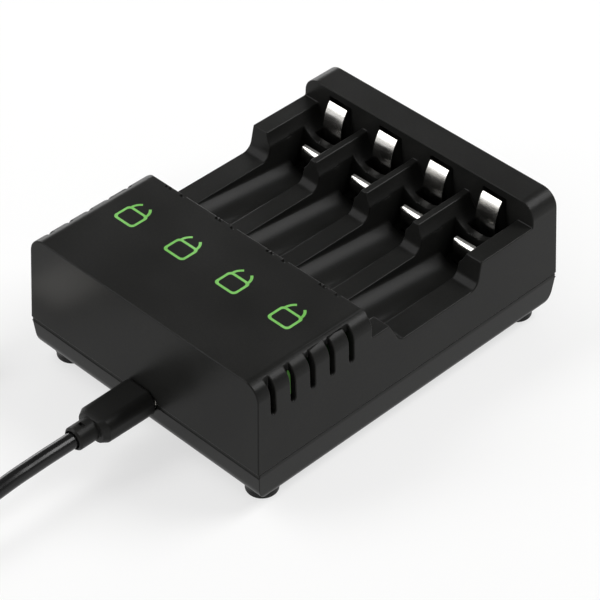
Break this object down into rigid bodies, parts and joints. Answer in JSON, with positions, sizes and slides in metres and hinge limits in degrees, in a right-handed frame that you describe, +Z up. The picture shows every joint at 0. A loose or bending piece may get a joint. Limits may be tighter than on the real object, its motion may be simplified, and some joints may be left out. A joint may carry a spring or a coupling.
{
  "type": "battery charger",
  "caption": "Low box-shaped charger with open cradle bays for AA and AAA cells, spring leaf contacts, lit battery signs, side vents and a short USB lead plugged into its front face.",
  "frame": {"origin": "on the surface it stands on, under the middle of the housing", "axes": "+X across the bays to the right seen from the socket face, +Y from the socket face to the rear wall, +Z up"},
  "size_m": [0.0901, 0.1946, 0.0349],
  "materials": {
    "housing": "satin moulded ABS",
    "board": "solder mask",
    "chip": "moulded epoxy",
    "capacitor": "satin can",
    "led": "clear lens",
    "steel": "zinc plated",
    "nickel": "nickel plated strip",
    "light_guide": "green lit light guide",
    "feet": "matt rubber",
    "plug_grip": "moulded PVC",
    "cable": "glossy PVC sheath"
  },
  "bodies": {
    "charger": {"top_housing": "housing", "bottom_cover": "housing", "circuit_board": "board", "usb_c_socket": "nickel", "charge_controller": "chip", "power_inductor": "chip", "input_capacitor": "capacitor", "status_leds": "led", "cover_screws": "steel", "indicator_light_1": "light_guide", "indicator_light_2": "light_guide", "indicator_light_3": "light_guide", "indicator_light_4": "light_guide", "positive_contact_1": "nickel", "positive_contact_2": "nickel", "positive_contact_3": "nickel", "positive_contact_4": "nickel", "foot_1": "feet", "foot_2": "feet", "foot_3": "feet", "foot_4": "feet", "usb_c_plug": "plug_grip", "usb_c_tip": "nickel", "usb_lead": "cable", "lead_coil": "cable", "lead_tie": "feet", "lead_tail": "cable", "usb_a_plug": "plug_grip", "usb_a_shell": "nickel"},
    "aa_leaf_1": {"aa_contact_1": "nickel"},
    "aa_leaf_2": {"aa_contact_2": "nickel"},
    "aa_leaf_3": {"aa_contact_3": "nickel"},
    "aa_leaf_4": {"aa_contact_4": "nickel"},
    "aaa_leaf_1": {"aaa_contact_1": "nickel"},
    "aaa_leaf_2": {"aaa_contact_2": "nickel"},
    "aaa_leaf_3": {"aaa_contact_3": "nickel"},
    "aaa_leaf_4": {"aaa_contact_4": "nickel"}
  },
  "joints": [
    {"name": "aa_leaf_1_flex", "type": "hinge", "parent": "charger", "child": "aa_leaf_1", "pos_m": [-0.02423, 0.03697, 0.00945], "axis": [-1, 0, 0], "range_deg": [0, 7], "stiffness_Nm_per_rad": 0.5},
    {"name": "aa_leaf_2_flex", "type": "hinge", "parent": "charger", "child": "aa_leaf_2", "pos_m": [-0.00808, 0.03697, 0.00945], "axis": [-1, 0, 0], "range_deg": [0, 7], "stiffness_Nm_per_rad": 0.5},
    {"name": "aa_leaf_3_flex", "type": "hinge", "parent": "charger", "child": "aa_leaf_3", "pos_m": [0.00808, 0.03697, 0.00945], "axis": [-1, 0, 0], "range_deg": [0, 7], "stiffness_Nm_per_rad": 0.5},
    {"name": "aa_leaf_4_flex", "type": "hinge", "parent": "charger", "child": "aa_leaf_4", "pos_m": [0.02423, 0.03697, 0.00945], "axis": [-1, 0, 0], "range_deg": [0, 7], "stiffness_Nm_per_rad": 0.5},
    {"name": "aaa_leaf_1_flex", "type": "hinge", "parent": "charger", "child": "aaa_leaf_1", "pos_m": [-0.02423, 0.02962, 0.00945], "axis": [-1, 0, 0], "range_deg": [0, 6], "stiffness_Nm_per_rad": 0.5},
    {"name": "aaa_leaf_2_flex", "type": "hinge", "parent": "charger", "child": "aaa_leaf_2", "pos_m": [-0.00808, 0.02962, 0.00945], "axis": [-1, 0, 0], "range_deg": [0, 6], "stiffness_Nm_per_rad": 0.5},
    {"name": "aaa_leaf_3_flex", "type": "hinge", "parent": "charger", "child": "aaa_leaf_3", "pos_m": [0.00808, 0.02962, 0.00945], "axis": [-1, 0, 0], "range_deg": [0, 6], "stiffness_Nm_per_rad": 0.5},
    {"name": "aaa_leaf_4_flex", "type": "hinge", "parent": "charger", "child": "aaa_leaf_4", "pos_m": [0.02423, 0.02962, 0.00945], "axis": [-1, 0, 0], "range_deg": [0, 6], "stiffness_Nm_per_rad": 0.5}
  ]
}
